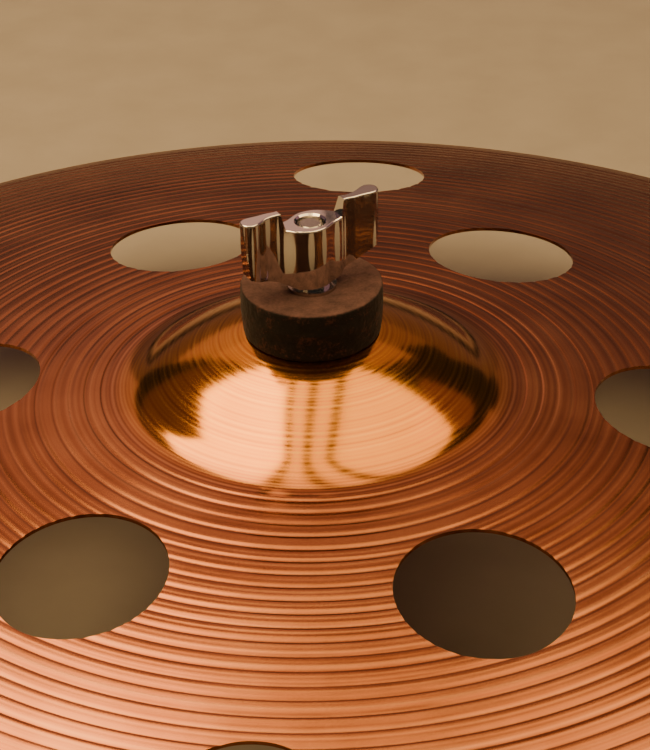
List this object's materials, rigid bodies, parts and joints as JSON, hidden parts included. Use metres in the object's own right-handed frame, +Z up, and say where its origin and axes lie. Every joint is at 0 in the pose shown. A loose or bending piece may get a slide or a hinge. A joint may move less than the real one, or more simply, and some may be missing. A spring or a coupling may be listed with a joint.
{
  "type": "crash cymbal",
  "caption": "Round bronze crash cymbal with a raised bell and two staggered rings of sound holes, between felts on a threaded rod with a wing nut, above a brake tilter for a stand tube.",
  "frame": {"origin": "centre of the mouth of the tilter's tube socket, where the stand's top tube goes in", "axes": "+Z up along the stand's tube towards the wing nut; the tilter's hinge runs along X; the key bolts are on the +Y side"},
  "size_m": [0.4572, 0.4572, 0.1389],
  "materials": {
    "bronze": "lathed and polished",
    "felt": "pressed wool felt",
    "nylon": "smooth moulded",
    "plated_steel": "bright plated",
    "zinc_steel": "zinc plated",
    "chrome": "polished chrome on a casting",
    "fibre": "matt vulcanised fibre"
  },
  "bodies": {
    "stand_clamp": {"tilter_yoke": "chrome", "socket_key_bolts": "zinc_steel", "clamp_nut": "zinc_steel", "friction_disc_left": "fibre", "friction_disc_right": "fibre"},
    "tilt_head": {"tilter_head": "chrome", "threaded_rod": "zinc_steel", "rod_lock_nut": "zinc_steel", "seat_washer": "plated_steel"},
    "clamp_washer": {"clamp_washer": "plated_steel"},
    "clamp_screw": {"clamp_bolt": "zinc_steel", "clamp_wing": "chrome"},
    "sleeve_and_felts": {"cymbal_sleeve": "nylon", "lower_felt": "felt", "upper_felt": "felt"},
    "cymbal": {"cymbal": "bronze"},
    "nut_washer": {"nut_washer": "plated_steel"},
    "wing_nut": {"wing_nut": "chrome"}
  },
  "joints": [
    {"name": "tilter_tilt", "type": "hinge", "parent": "stand_clamp", "child": "tilt_head", "pos_m": [0, 0, 0.054], "axis": [1, 0, 0], "range_deg": [-75, 75]},
    {"name": "clamp_travel", "type": "slide", "parent": "stand_clamp", "child": "clamp_washer", "axis": [1, 0, 0], "range_m": [0, 0.0025]},
    {"name": "clamp_bolt_turn", "type": "hinge", "parent": "clamp_washer", "child": "clamp_screw", "pos_m": [0, 0, 0.054], "axis": [1, 0, 0], "range_deg": [0, 745]},
    {"name": "cymbal_turn", "type": "hinge", "parent": "tilt_head", "child": "sleeve_and_felts", "pos_m": [0, 0, 0.1], "axis": [0, 0, 1], "continuous": true},
    {"name": "cymbal_rock", "type": "hinge", "parent": "sleeve_and_felts", "child": "cymbal", "pos_m": [0, 0, 0.1012], "axis": [1, 0, 0], "range_deg": [-8, 8], "stiffness_Nm_per_rad": 0.5, "deforming": ["upper_felt", "lower_felt"]},
    {"name": "nut_travel", "type": "slide", "parent": "tilt_head", "child": "nut_washer", "axis": [0, 0, 1], "range_m": [0, 0.015]},
    {"name": "wing_nut_turn", "type": "hinge", "parent": "nut_washer", "child": "wing_nut", "pos_m": [0, 0, 0.12], "axis": [0, 0, 1], "range_deg": [0, 4406]}
  ],
  "couplings": [
    {"joint": "clamp_bolt_turn", "follows": "clamp_travel", "rad_per_m": 5026.5},
    {"joint": "wing_nut_turn", "follows": "nut_travel", "rad_per_m": 5026.5}
  ]
}
